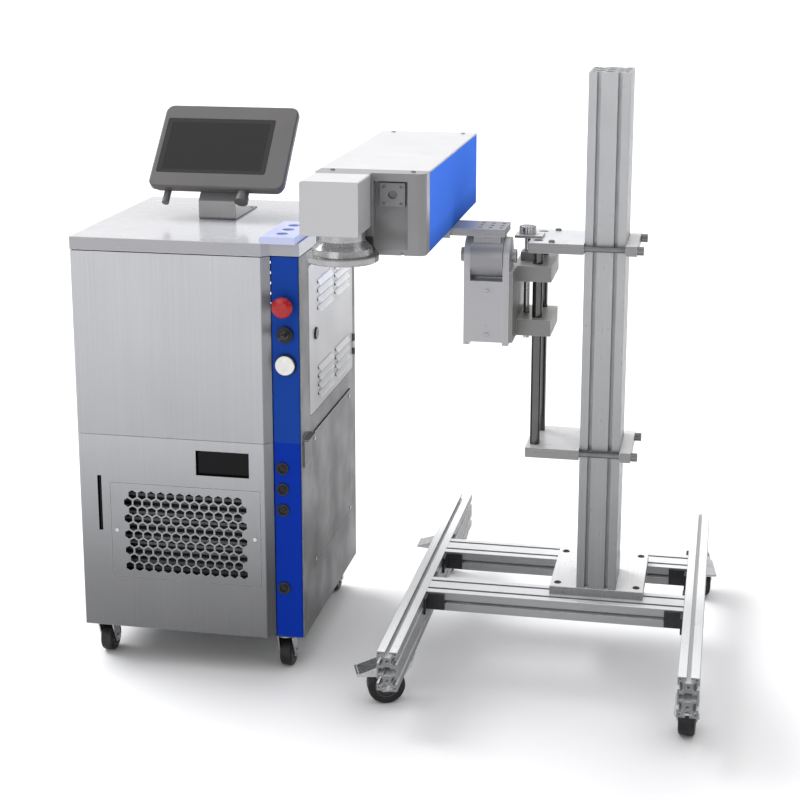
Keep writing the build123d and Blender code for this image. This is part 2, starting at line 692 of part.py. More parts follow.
def make_fork(x, y, turn, top, kind):
    """Crown, two tapered legs, the axle bolt and, where there is a brake, the pedal's pivot pins."""
    trail = kind["trail"]
    r = kind["wheel_r"]
    crown_top = top - PLATE_THICK - 0.6
    half = kind["wheel_w"] / 2 + kind["leg_gap"]
    crown = rod_z(0, 0, crown_top - 4, crown_top, half + 2.5)
    crown += block(0, min(trail, half + 8), -half - 2.5, half + 2.5, crown_top - 4, crown_top)
    crown -= rod_z(0, 0, crown_top - 9, crown_top + 1, KINGPIN_R + RUN_FIT)
    leg = [(-half * 0.9, crown_top), (min(trail, half + 8), crown_top), (trail + 11, r + 4),
           (trail + 9, r - 9), (trail - 9, r - 9), (-half * 0.7, crown_top - 12)]
    if kind["brake"]:
        leg[2:2] = [(trail + 12, PEDAL_PIVOT_Z + 4), (trail + 12, PEDAL_PIVOT_Z - 6)]
    for side in (-1, 1):
        y0 = side * half if side > 0 else -half - 2.5
        crown += prism_y(leg, y0, y0 + 2.5)
    axle = rod_y(trail, r, -half - 2.5, half + 2.5, kind["axle_r"])
    for y0 in (-half - 5.5, half + 2.5):
        axle += rod_y(trail, r, y0, y0 + 3, 6.5)
        if kind["brake"]:
            axle += rod_y(trail + PEDAL_PIVOT, PEDAL_PIVOT_Z, y0, y0 + 3, PEDAL_PIN_R)
    return caster_place(x, y, turn, crown + axle)


def make_wheel(x, y, turn, kind):
    """Hub core inside a tyre with rounded shoulders."""
    r = kind["wheel_r"]
    half = kind["wheel_w"] / 2
    bore = kind["axle_r"] + RUN_FIT
    hub_r = r * 0.62
    hub = rod_y(0, 0, -half, half, hub_r)
    for y0 in (-half - 1, half - 3):
        hub -= ring_y(0, 0, y0, y0 + 4, hub_r - 3, 9)
    hub -= rod_y(0, 0, -half - 2, half + 2, bore)
    tyre = rod_y(0, 0, -half, half, r)
    tyre = fillet(tyre.edges().filter_by(GeomType.CIRCLE), 5.0)
    tyre -= rod_y(0, 0, -half - 1, half + 1, hub_r)
    pieces = [Pos(kind["trail"], 0, r) * piece for piece in (hub, tyre)]
    return [caster_place(x, y, turn, piece) for piece in pieces]


def make_pedal(x, y, turn, kind):
    """Brake pedal: a stamped cover over the wheel, pivoted outside the fork's legs."""
    trail = kind["trail"]
    side_y = kind["wheel_w"] / 2 + kind["leg_gap"] + 2.9
    outer = side_y + 2.2
    start = trail + 9
    end = trail + PEDAL_REACH
    high = PEDAL_PIVOT_Z + 9.5
    low = high - 16
    pedal = prism_y([(start, high), (end, low), (end, low + 2.2), (start, high + 2.2)], -outer, outer)
    skirt = [(start, high + 2.2), (end, low + 2.2), (end, low - 2), (trail + 22, low - 5),
             (trail + 1, PEDAL_PIVOT_Z - 5), (trail + 1, PEDAL_PIVOT_Z + 4)]
    for y0 in (-outer, side_y):
        cheek = prism_y(skirt, y0, y0 + 2.2)
        pedal += cheek - rod_y(trail + PEDAL_PIVOT, PEDAL_PIVOT_Z, y0 - 1, y0 + 4, PEDAL_PIN_R + RUN_FIT)
    tip = rod_y(end, low + 0.5, -outer, outer, 3.0)
    return [caster_place(x, y, turn, pedal + tip)]


# ======================= stand =======================

def slot_cut(depth_dir):
    """T-slot outline, open at the origin and cut towards +Y, turned to face depth_dir degrees."""
    half = SLOT_W / 2
    points = [(-half, -1), (half, -1), (half, 4.5), (10, 4.5), (10, 7), (5, 12), (-5, 12), (-10, 7),
              (-10, 4.5), (-half, 4.5)]
    return Rot(0, 0, depth_dir) * make_face(Polyline(*points, close=True))


def extrusion_section(columns, rows):
    """Cross-section of an extrusion of 40 mm squares, centred on the origin."""
    w = columns * PITCH
    h = rows * PITCH
    section = RectangleRounded(w, h, 1.5)
    for i in range(columns):
        x = -w / 2 + (i + 0.5) * PITCH
        section -= Pos(x, -h / 2) * slot_cut(0)
        section -= Pos(x, h / 2) * slot_cut(180)
    for j in range(rows):
        y = -h / 2 + (j + 0.5) * PITCH
        section -= Pos(-w / 2, y) * slot_cut(-90)
        section -= Pos(w / 2, y) * slot_cut(90)
    for i in range(columns):
        for j in range(rows):
            x = -w / 2 + (i + 0.5) * PITCH
            y = -h / 2 + (j + 0.5) * PITCH
            section -= Pos(x, y) * Circle(CORE_R)
            if j + 1 < rows:
                section -= Pos(x, y + PITCH / 2) * cavity(columns == 1, True)
            if i + 1 < columns:
                section -= Pos(x + PITCH / 2, y) * cavity(rows == 1, False)
    for sx in (-1, 1):
        for sy in (-1, 1):
            section -= Pos(sx * (w / 2 - 5), sy * (h / 2 - 5)) * Circle(2.2)
    return section


CORE_R = 3.4


def cavity(wide, level):
    """Hollow between two neighbouring squares, wide where it reaches both outer walls."""
    length = 34 if wide else 22
    slim = Rectangle(length, 12) if level else Rectangle(12, length)
    return slim + (Rectangle(14, 18) if level else Rectangle(18, 14))


def make_rail(x):
    section = Plane.XZ * extrusion_section(1, 2)
    profile = extrude(section, RAIL_Y[1] - RAIL_Y[0], dir=(0, 1, 0))
    return Pos(x, RAIL_Y[0], (RAIL_BOTTOM + RAIL_TOP) / 2) * profile


def make_crossbars():
    length = RAIL_RIGHT_X - RAIL_LEFT_X - PITCH
    section = Plane.YZ * extrusion_section(2, 1)
    profile = extrude(section, length, dir=(1, 0, 0))
    return [Pos(RAIL_LEFT_X + PITCH / 2, y, RAIL_TOP - PITCH / 2) * profile for y in BAR_YS]


def plate_bolts():
    x0, x1, y0, y1 = BASE_PLATE
    return [(x, y) for x in (x0 + 15, x1 - 15) for y in (y0 + 21, y1 - 21)]


def make_base_plate():
    x0, x1, y0, y1 = BASE_PLATE
    plate = block(x0, x1, y0, y1, RAIL_TOP, PLATE_TOP)
    plate = chamfer(plate.edges().group_by(Axis.Z)[-1], 1.0)
    for x, y in plate_bolts():
        plate -= rod_z(x, y, RAIL_TOP - 1, PLATE_TOP + 1, 4.5)
        plate -= rod_z(x, y, PLATE_TOP - 5, PLATE_TOP + 1, 7.5)
    return plate


def make_column():
    profile = extrude(extrusion_section(2, 3), COLUMN_TOP - PLATE_TOP)
    return Pos(COLUMN_X, COLUMN_Y, PLATE_TOP) * profile


def bracket_leg(x, y, reach_x, reach_y):
    """One leg of a corner bracket, from the corner out by a signed reach each way."""
    return block(min(x, x + reach_x), max(x, x + reach_x), min(y, y + reach_y), max(y, y + reach_y),
                 RAIL_TOP - 37, RAIL_TOP - 3)


def make_stand_bolts():
    """Cap screws of the base plate, and the corner brackets between rails and crossbars."""
    pieces = []
    for x, y in plate_bolts():
        shank = rod_z(x, y, RAIL_TOP, PLATE_TOP - 5, 4.0)
        pieces.append(shank + hex_screw(x, y, PLATE_TOP - 5, 6.5, 6.5))
    for y in BAR_YS:
        for x, sx in ((RAIL_LEFT_X + PITCH / 2, 1), (RAIL_RIGHT_X - PITCH / 2, -1)):
            for side in (-1, 1):
                face = y + side * PITCH
                wall = bracket_leg(x, face, sx * BRACKET_T, side * BRACKET_WALL)
                foot = bracket_leg(x, face, sx * BRACKET_FOOT, side * BRACKET_T)
                pieces.append(wall + foot)
    return pieces


# ======================= clamp arms, guide rods, carriage =======================

def make_clamp_arms():
    """Two clamp plates left of the column and the two bars that pull them against it."""
    pieces = []
    for z in ARM_ZS:
        arm = block(ARM_LEFT, COLUMN_LEFT - SLIDE_GAP, *ARM_Y, z, z + ARM_T)
        for y in GUIDE_YS:
            arm -= rod_z(GUIDE_X, y, z - 1, z + ARM_T + 1, GUIDE_R + 0.02)
        bar = block(COLUMN_RIGHT + SLIDE_GAP, COLUMN_RIGHT + SLIDE_GAP + BAR_T, *ARM_Y, z, z + ARM_T)
        for y in CLAMP_YS:
            arm -= rod_x(y, z + ARM_T / 2, COLUMN_LEFT - 60, COLUMN_LEFT + 1, CLAMP_ROD_R + 0.02)
            bar -= rod_x(y, z + ARM_T / 2, COLUMN_RIGHT - 1, COLUMN_RIGHT + BAR_T + 2, CLAMP_ROD_R + 0.3)
        pieces.extend([arm, bar])
    top = ARM_ZS[1] + ARM_T
    shelf = block(SCREW_X - 23, ARM_LEFT + 22, SCREW_Y - 24, SCREW_Y + 24, top, top + SHELF_T)
    shelf -= rod_z(SCREW_X, SCREW_Y, top - 1, top + SHELF_T + 1, SCREW_R + RUN_FIT)
    pieces.append(shelf)
    return pieces


def make_clamp_bolts():
    """Long clamp screws beside the column, and the screws on the upper arm."""
    pieces = []
    for z in ARM_ZS:
        for y in CLAMP_YS:
            middle = z + ARM_T / 2
            end = COLUMN_RIGHT + SLIDE_GAP + BAR_T
            screw = rod_x(y, middle, COLUMN_LEFT - 60, end, CLAMP_ROD_R)
            head = rod_x(y, middle, end, end + 13, 8.5)
            head -= rod_x(y, middle, end + 7, end + 14, 4.0)
            pieces.append(screw + head)
    top = ARM_ZS[1] + ARM_T
    for y in (ARM_Y[0] + 14, ARM_Y[1] - 14):
        pieces.append(hex_screw(ARM_LEFT + 44, y, top, 6.0, 4.0))
    return pieces


def make_guide_rods():
    bottom = ARM_ZS[0]
    top = ARM_ZS[1] + ARM_T
    return [rod_z(GUIDE_X, y, bottom, top, GUIDE_R) for y in GUIDE_YS]


def make_carriage():
    """Two bored blocks on a back plate, and the nut that the lift screw drives."""
    x0, x1 = CARRIAGE_X
    y0, y1 = CARRIAGE_Y
    z_low = BLOCK_ZS[0][0]
    z_high = BLOCK_ZS[1][1]
    plate = block(x0, x0 + CARRIAGE_PLATE, TILT_Y - EAR_HALF, y1, z_low, z_high)
    body = plate
    for low, high in BLOCK_ZS:
        body += block(x0 + CARRIAGE_PLATE, x1, y0, y1, low, high)
    for y in GUIDE_YS:
        body -= rod_z(GUIDE_X, y, z_low - 1, z_high + 1, GUIDE_R + RUN_FIT)
    body -= rod_z(SCREW_X, SCREW_Y, z_low - 1, z_high + 1, SCREW_R + 1.5)
    nut = block(SCREW_X - 11, SCREW_X + 14, SCREW_Y - 18, SCREW_Y + 18, z_high, z_high + 18)
    nut -= rod_z(SCREW_X, SCREW_Y, z_high - 1, z_high + 19, SCREW_R + RUN_FIT)
    return [body, nut]


def make_lift_screw():
    """Screw with a thrust collar above its shelf and a round hand knob."""
    shelf_top = ARM_ZS[1] + ARM_T + SHELF_T
    screw = rod_z(SCREW_X, SCREW_Y, BLOCK_ZS[0][0] - 20, shelf_top + 8, SCREW_R)
    knob = rod_z(SCREW_X, SCREW_Y, shelf_top + 0.3, shelf_top + KNOB_H, KNOB_R)
    knob = fillet(knob.edges().group_by(Axis.Z)[-1], 2.5)
    for turn in range(12):
        angle = math.radians(30 * turn)
        knob -= rod_z(SCREW_X + (KNOB_R + 1.6) * math.cos(angle), SCREW_Y + (KNOB_R + 1.6) * math.sin(angle),
                      shelf_top, shelf_top + KNOB_H + 1, 3)
    return [screw + knob]


# ======================= tilt yoke, head mount, head =======================

def ear(x0):
    """Upright ear with a round top about the tilt axis."""
    plate = block(x0, x0 + EAR_T, TILT_Y - EAR_HALF, TILT_Y + EAR_HALF, EAR_BOTTOM, TILT_Z)
    plate += rod_x(TILT_Y, TILT_Z, x0, x0 + EAR_T, EAR_HALF)
    return plate - rod_x(TILT_Y, TILT_Z, x0 - 1, x0 + EAR_T + 1, PIVOT_R + RUN_FIT)


def make_tilt_yoke():
    """Two ears, the channel between them and its front cover with two screws."""
    left = ear(EAR_LEFT_X)
    right = ear(EAR_RIGHT_X)
    for step in range(5):
        z = EAR_BOTTOM + 22 + step * 24
        slot = block(EAR_RIGHT_X - 1, EAR_RIGHT_X + 5, TILT_Y - 6, TILT_Y + 6, z, z + 12)
        right -= slot
    inner_left = EAR_LEFT_X + EAR_T
    web = block(inner_left, EAR_RIGHT_X, TILT_Y + 12, TILT_Y + 22, EAR_BOTTOM, 838)
    cover = block(inner_left, EAR_RIGHT_X, TILT_Y - EAR_HALF, TILT_Y - EAR_HALF + 4, 720, 836)
    flange = block(inner_left, EAR_RIGHT_X, TILT_Y - EAR_HALF, TILT_Y + 12, 836, 841)
    screws = []
    for z in (734, 821):
        head = rod_y(366, z, TILT_Y - EAR_HALF - 3, TILT_Y - EAR_HALF, 5.0)
        screws.append(head - rod_y(366, z, TILT_Y - EAR_HALF - 4, TILT_Y - EAR_HALF - 1.5, 2.4))
    return [left, right, web, cover + flange, *screws]


def grid_holes():
    return [(GRID_X + i * GRID_DX, GRID_Y + j * GRID_DY) for i in (-1, 0, 1) for j in (-1, 0, 1)]


def make_head_mount():
    """Drum on a pivot shaft, neck, the mounting plate with its hole grid, and a side clamp block."""
    drum = rod_x(TILT_Y, TILT_Z, EAR_LEFT_X + EAR_T + 0.5, EAR_RIGHT_X - 0.5, DRUM_R)
    drum += rod_x(TILT_Y, TILT_Z, EAR_LEFT_X - 6, EAR_RIGHT_X + EAR_T + 6, PIVOT_R)
    for x0 in (EAR_LEFT_X - 10, EAR_RIGHT_X + EAR_T + 0.5):
        drum += rod_x(TILT_Y, TILT_Z, x0, x0 + 9.5, 14)
    neck = block(EAR_LEFT_X + EAR_T + 6, EAR_RIGHT_X - 6, TILT_Y - 30, TILT_Y + 36,
                 TILT_Z + 20, HEAD_PLATE_Z[0])
    x0, x1, y0, y1 = HEAD_PLATE
    plate = block(x0, x1, y0, y1, *HEAD_PLATE_Z)
    for x, y in grid_holes():
        plate -= rod_z(x, y, HEAD_PLATE_Z[0] - 1, HEAD_PLATE_Z[1] + 1, GRID_HOLE_R)
    clamp = block(272, 294, y0 - 8, y0, HEAD_PLATE_Z[0] - 4, HEAD_PLATE_Z[1])
    return [drum + neck + plate, clamp]


def body_plates():
    """Floor, two sides and two ends of the laser body, under its top cover."""
    x0 = HEAD_X[0] + SIDE_COVER_T
    x1 = HEAD_X[1] - SIDE_COVER_T
    y0 = HEAD_Y[0] + CAP_LENGTH
    y1 = HEAD_Y[1]
    low = HEAD_PLATE_Z[1] + BODY_FLOOR
    high = HEAD_TOP - TOP_COVER_T
    inner_x0, inner_x1 = x0 + BODY_WALL, x1 - BODY_WALL
    return [block(x0, x1, y0, y1, HEAD_PLATE_Z[1], low),
            block(x0, inner_x0, y0, y1, low, high),
            block(inner_x1, x1, y0, y1, low, high),
            block(inner_x0, inner_x1, y0, y0 + BODY_WALL, low, high),
            block(inner_x0, inner_x1, y1 - BODY_WALL, y1, low, high)]


def round_front_corner(shape):
    corner = shape.edges().filter_by(Axis.Z).group_by(Axis.X)[-1].group_by(Axis.Y)[0]
    return fillet(corner, CAP_CORNER_R)


def make_head_shell():
    """Laser body, its front end cap with the aperture flange, top cover and the galvo box."""
    x0, x1 = HEAD_X
    y0, y1 = HEAD_Y
    bottom = HEAD_PLATE_Z[1]
    floor = bottom + BODY_FLOOR
    cover_bottom = HEAD_TOP - TOP_COVER_T
    laser = block(*LASER_BLOCK, floor, floor + LASER_H)
    cap = block(x0, x1, y0, y0 + CAP_LENGTH, bottom, cover_bottom)
    cap = round_front_corner(cap)
    cap -= cap_scoop(y0, bottom)
    cap -= rod_z(LENS_X, LENS_Y, bottom - 1, bottom + 33, LENS_FLANGE_R + 3)
    cap -= block(x1 - 44, x1 - 38, y0 - 1, y0 + 6, bottom - 1, bottom + 5)
    top = round_front_corner(block(x0, x1, y0, y1, cover_bottom, HEAD_TOP))
    wall = GALVO_WALL
    galvo = block(*GALVO_X, *GALVO_Y, GALVO_BOTTOM, HEAD_TOP)
    galvo = fillet(galvo.edges().filter_by(Axis.Y), 4)
    galvo -= block(GALVO_X[0] + wall, GALVO_X[1] - wall, GALVO_Y[0] + wall, GALVO_Y[1] - wall,
                   GALVO_BOTTOM + wall, HEAD_TOP - wall)
    motors = [rod_z(LENS_X, LENS_Y - 20, GALVO_BOTTOM + 20, HEAD_TOP - wall, MOTOR_R),
              rod_x(LENS_Y + 18, GALVO_BOTTOM + 28, GALVO_X[0] + wall, GALVO_X[0] + 50, MOTOR_R)]
    flange = make_aperture_flange(y0)
    screws = []
    for x in (x0 + 26, x1 - 26):
        for y in (y0 + 22, y1 - 22):
            screws.append(hex_screw(x, y, HEAD_TOP, 4.5, 2.5))
    return [*body_plates(), cap, top, laser, galvo, *motors, flange, *screws]


def cap_scoop(y0, bottom):
    """Hollow beside the galvo box: upright behind the aperture flange, curving out to the bottom edge."""
    high = HEAD_TOP - 14
    ramp = bottom + 72
    curve = Curve() + [Line((y0 - 2, high), (y0 + SCOOP_DEPTH, high)),
                       Line((y0 + SCOOP_DEPTH, high), (y0 + SCOOP_DEPTH, ramp)),
                       ThreePointArc((y0 + SCOOP_DEPTH, ramp), (y0 + SCOOP_DEPTH * 0.7, bottom + 34),
                                     (y0 - 2, bottom + 8)),
                       Line((y0 - 2, bottom + 8), (y0 - 2, high))]
    face = make_face(Plane.YZ * curve)
    return Pos(GALVO_X[1] + 1, 0, 0) * extrude(face, SCOOP_W, dir=(1, 0, 0))


def make_aperture_flange(y0):
    """Square plate with a centre port and four screws, seated in the end cap's recess."""
    seat = y0 + SCOOP_DEPTH
    plate = block(FLANGE_X - 20, FLANGE_X + 26, seat - 9, seat, FLANGE_Z - 21, FLANGE_Z + 21)
    plate -= rod_y(FLANGE_X + 3, FLANGE_Z, seat - 10, seat - 1, 8.0)
    for sx in (-1, 1):
        for sz in (-1, 1):
            plate -= rod_y(FLANGE_X + 3 + sx * 16, FLANGE_Z + sz * 15, seat - 10, seat - 6, 3.0)
    return plate


def make_head_side_cover():
    """Long side covers on both sides of the laser body."""
    covers = []
    y0 = HEAD_Y[0] + CAP_LENGTH
    bottom = HEAD_PLATE_Z[1]
    for x in (HEAD_X[0], HEAD_X[1] - SIDE_COVER_T):
        covers.append(block(x, x + SIDE_COVER_T, y0, HEAD_Y[1], bottom, HEAD_TOP - 3))
    return covers


def make_lens():
    """Field lens: neck, flared barrel and the wide protective flange, with a recessed glass."""
    top = GALVO_BOTTOM
    rim = LENS_FLANGE_R
    profile = [(0, top), (40, top), (40, top - 17), (44, top - 22), (53, top - 30), (54, top - 41),
               (rim - 1, top - 42), (rim, top - 44), (rim, top - 52), (rim - 2, top - 54.5),
               (46, top - 54.5), (42, top - 46), (0, top - 46)]
    barrel = revolve(make_face(Plane.XZ * Polyline(*profile, close=True)), Axis.Z)
    return Pos(LENS_X, LENS_Y, 0) * barrel


# ======================= write every node =======================

def build_cabinet():
    save("base_frame", *make_base_frame())
    save("left_panel", make_left_panel())
    save("right_panel", *make_right_panel())
    save("rear_panel", make_rear_panel())
    save("front_panel_upper", make_front_panel(SEAM_Z + 0.5, BODY_TOP))
    save("front_panel_lower", make_lower_front())
    save("vent_grille", make_vent_grille())
    save("service_cover", make_service_cover())
    save("control_strip", make_control_strip())
    save("top_lid", *make_top_lid())
    save("cable_rack", *make_cable_rack())
    save("front_windows", *make_front_windows())
    save("strip_fittings", *make_strip_fittings())
    save("inner_modules", *make_inner_modules())
    save("cabinet_screws", *make_cabinet_screws())
    save("screen_post", make_screen_post())
    save("screen_housing", *make_screen_housing())
    save("screen_glass", make_screen_glass())
    save("estop_button", *make_estop())
    save("key", *make_key())
    save("start_button", *make_start())
    save("upper_door", make_upper_door())
    save("door_lock", *make_door_lock())
    save("fan_rotor", make_fan_rotor())
    for name, (x, y, turn) in CAB_CASTERS.items():
        save("cabinet_fork_" + name, make_fork(x, y, turn, BODY_BOTTOM, CAB_CASTER))
        save("cabinet_wheel_" + name, *make_wheel(x, y, turn, CAB_CASTER))


def build_stand():
    plates = {}
    for name, (x, y, turn) in STAND_CASTERS.items():
        plates[name] = caster_plate(x, y, RAIL_BOTTOM, STAND_CASTER)
        save("stand_fork_" + name, make_fork(x, y, turn, RAIL_BOTTOM, STAND_CASTER))
        save("stand_wheel_" + name, *make_wheel(x, y, turn, STAND_CASTER))
        save("brake_pedal_" + name, *make_pedal(x, y, turn, STAND_CASTER))
    save("left_rail", make_rail(RAIL_LEFT_X), plates["front_left"], plates["rear_left"])
    save("right_rail", make_rail(RAIL_RIGHT_X), plates["front_right"], plates["rear_right"])
    save("crossbars", *make_crossbars())
    save("base_plate", make_base_plate())
    save("column", make_column())
    save("stand_bolts", *make_stand_bolts())
    save("clamp_arms", *make_clamp_arms())
    save("clamp_bolts", *make_clamp_bolts())
    save("guide_rods", *make_guide_rods())
    save("carriage", *make_carriage())
    save("lift_screw", *make_lift_screw())
    save("tilt_yoke", *make_tilt_yoke())
    save("head_mount", *make_head_mount())
    save("head_shell", *make_head_shell())
    save("head_side_cover", *make_head_side_cover())
    save("lens", make_lens())


os.makedirs("parts", exist_ok=True)
ORIGIN_X, ORIGIN_Y = footprint_middle()
build_cabinet()
build_stand()
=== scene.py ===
import json
import math

import bpy
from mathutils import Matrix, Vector


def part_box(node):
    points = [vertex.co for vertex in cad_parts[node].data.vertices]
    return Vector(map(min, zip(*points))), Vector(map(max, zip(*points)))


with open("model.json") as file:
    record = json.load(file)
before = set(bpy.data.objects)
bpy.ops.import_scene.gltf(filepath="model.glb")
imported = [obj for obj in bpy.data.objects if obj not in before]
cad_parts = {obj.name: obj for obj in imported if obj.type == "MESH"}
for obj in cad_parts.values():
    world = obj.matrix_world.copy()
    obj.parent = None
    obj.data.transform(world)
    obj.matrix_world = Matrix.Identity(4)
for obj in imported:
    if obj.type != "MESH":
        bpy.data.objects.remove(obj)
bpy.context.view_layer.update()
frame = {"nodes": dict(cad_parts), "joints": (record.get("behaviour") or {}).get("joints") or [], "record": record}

NODES = frame["nodes"]
MM = 0.001

# ---- camera ----
CAMERA_PLACE = (0.6445, -3.2849, 1.5314)
CAMERA_YAW = 11.236
CAMERA_PITCH = 12.99
CAMERA_LENS = 76.03
CAMERA_SHIFT_Y = -0.12
SENSOR_WIDTH = 36.0

# ---- light ----
SKY_SPAN = (-0.6, 0.9)
SKY_TOP_SPAN = (0.3, 1.0)
SKY_FRONT = 0.23
SKY_BACK = 0.82
SKY_RIGHT_SHARE = 0.65
SKY_TOP = 1.05
KEY_STRENGTH = 2.15
KEY_TO_LIGHT = (-0.60, 0.26, 0.76)
KEY_SPREAD = 36.0
FILL_STRENGTH = 0.78
FILL_TO_LIGHT = (-0.35, -0.92, 0.18)
FILL_SPREAD = 40.0

# ---- floor ----
FLOOR_SIZE = 60.0
FLOOR_TONES = ((0.88, 0.88, 0.89), (0.91, 0.91, 0.92))

# ---- places inside the object, from its own boxes ----
# CORNER_WIDTH, HOOD_DEPTH, COVER_FADE and CAP_DEPTH size the bands of painted shade and painted highlight
CORNER_WIDTH = 16 * MM
HOOD_DEPTH = 6 * MM
COVER_FADE = 40 * MM
CAP_DEPTH = 60 * MM
GLASS_SIDE = 10 * MM
GLASS_LOW = 8 * MM
GLASS_TOP = 7 * MM
HUB_SHARE = 0.62
BEYOND = 1.0


# ======================= material building =======================

class Paint:
    """A Principled material whose colour, gloss and surface come from procedural nodes."""

    def __init__(self, name, roughness, metallic=0.0):
        self.material = bpy.data.materials.new(name)
        self.material.use_nodes = True
        self.tree = self.material.node_tree
        self.shader = self.tree.nodes["Principled BSDF"]
        self.shader.inputs["Metallic"].default_value = metallic
        self.shader.inputs["Roughness"].default_value = roughness
        self.place = self.node("ShaderNodeTexCoord").outputs["Object"]
        self.normal = None

    def node(self, kind, **settings):
        made = self.tree.nodes.new(kind)
        for key, value in settings.items():
            setattr(made, key, value)
        return made

    def link(self, source, target):
        self.tree.links.new(source, target)

    def math(self, operation, first, second=None, clamp=False):
        made = self.node("ShaderNodeMath", operation=operation, use_clamp=clamp)
        for socket, value in zip(made.inputs, (first, second)):
            if value is None:
                continue
            if isinstance(value, (int, float)):
                socket.default_value = value
            else:
                self.link(value, socket)
        return made.outputs[0]

    def mix(self, factor, first, second):
        made = self.node("ShaderNodeMix", data_type="RGBA")
        for index, value in ((0, factor), (6, first), (7, second)):
            socket = made.inputs[index]
            if isinstance(value, (int, float)):
                socket.default_value = value
            elif isinstance(value, tuple):
                socket.default_value = (*value, 1.0)
            else:
                self.link(value, socket)
        return made.outputs[2]

    def remap(self, value, low, high, new_low, new_high, smooth=False):
        made = self.node("ShaderNodeMapRange", clamp=True)
        if smooth:
            made.interpolation_type = "SMOOTHSTEP"
        self.link(value, made.inputs[0])
        for index, number in zip((1, 2, 3, 4), (low, high, new_low, new_high)):
            made.inputs[index].default_value = number
        return made.outputs[0]

    def noise(self, scale, stretch=(1, 1, 1), detail=3.0):
        """Noise over the object's own place, drawn out along an axis by a small stretch."""
        mapping = self.node("ShaderNodeMapping")
        mapping.inputs["Scale"].default_value = stretch
        self.link(self.place, mapping.inputs["Vector"])
        made = self.node("ShaderNodeTexNoise")
        made.inputs["Scale"].default_value = scale
        made.inputs["Detail"].default_value = detail
        self.link(mapping.outputs[0], made.inputs["Vector"])
        return made.outputs["Fac"]

    def axis(self, name):
        split = self.node("ShaderNodeSeparateXYZ")
        self.link(self.place, split.inputs[0])
        return split.outputs[name]

    def rounded_edges(self, radius):
        """Softens sharp corners in the shading and returns a mask that is 1 on the corners."""
        bevel = self.node("ShaderNodeBevel", samples=8)
        bevel.inputs["Radius"].default_value = radius
        flat = self.node("ShaderNodeNewGeometry")
        dot = self.node("ShaderNodeVectorMath", operation="DOT_PRODUCT")
        self.link(bevel.outputs[0], dot.inputs[0])
        self.link(flat.outputs["Normal"], dot.inputs[1])
        self.normal = bevel.outputs[0]
        return self.remap(dot.outputs["Value"], 0.995, 0.8, 0.0, 1.0)

    def bump(self, height, distance, strength=1.0):
        made = self.node("ShaderNodeBump")
        made.inputs["Distance"].default_value = distance
        made.inputs["Strength"].default_value = strength
        self.link(height, made.inputs["Height"])
        if self.normal is not None:
            self.link(self.normal, made.inputs["Normal"])
        self.normal = made.outputs[0]

    def gradient(self, stops):
        """Painted shade factor by height: (height in metres, factor) pairs from low to high."""
        low, high = stops[0][0], stops[-1][0]
        ramp = self.node("ShaderNodeValToRGB")
        while len(ramp.color_ramp.elements) < len(stops):
            ramp.color_ramp.elements.new(0.5)
        for element, (height, factor) in zip(ramp.color_ramp.elements, stops):
            element.position = (height - low) / (high - low)
            element.color = (factor, factor, factor, 1.0)
        self.link(self.remap(self.axis("Z"), low, high, 0.0, 1.0), ramp.inputs[0])
        return ramp.outputs[0]

    def times(self, tone, factor):
        """The tone multiplied by a factor, which may be above 1."""
        multiply = self.node("ShaderNodeMix", data_type="RGBA", blend_type="MULTIPLY")
        multiply.inputs[0].default_value = 1.0
        self.link(tone, multiply.inputs[6])
        self.link(factor, multiply.inputs[7])
        return multiply.outputs[2]

    def upright(self):
        """Mask that is 1 on the piece's upright faces and 0 on its level ones, where shade is painted."""
        split = self.node("ShaderNodeSeparateXYZ")
        self.link(self.node("ShaderNodeTexCoord").outputs["Normal"], split.inputs[0])
        return self.remap(self.math("ABSOLUTE", split.outputs["Z"]), 0.5, 0.8, 1.0, 0.0)

    def zone(self, axis, low, high):
        """Mask that is 1 between two places along an axis."""
        place = self.axis(axis)
        above = self.math("GREATER_THAN", place, low)
        below = self.math("LESS_THAN", place, high)
        return self.math("MULTIPLY", above, below)

    def finish(self, colour, roughness=None):
        if isinstance(colour, tuple):
            self.shader.inputs["Base Color"].default_value = (*colour, 1.0)
        else:
            self.link(colour, self.shader.inputs["Base Color"])
        if roughness is not None:
            self.link(roughness, self.shader.inputs["Roughness"])
        if self.normal is not None:
            self.link(self.normal, self.shader.inputs["Normal"])
        return self.material


def shade(colour, factor):
    return tuple(min(1.0, channel * factor) for channel in colour)


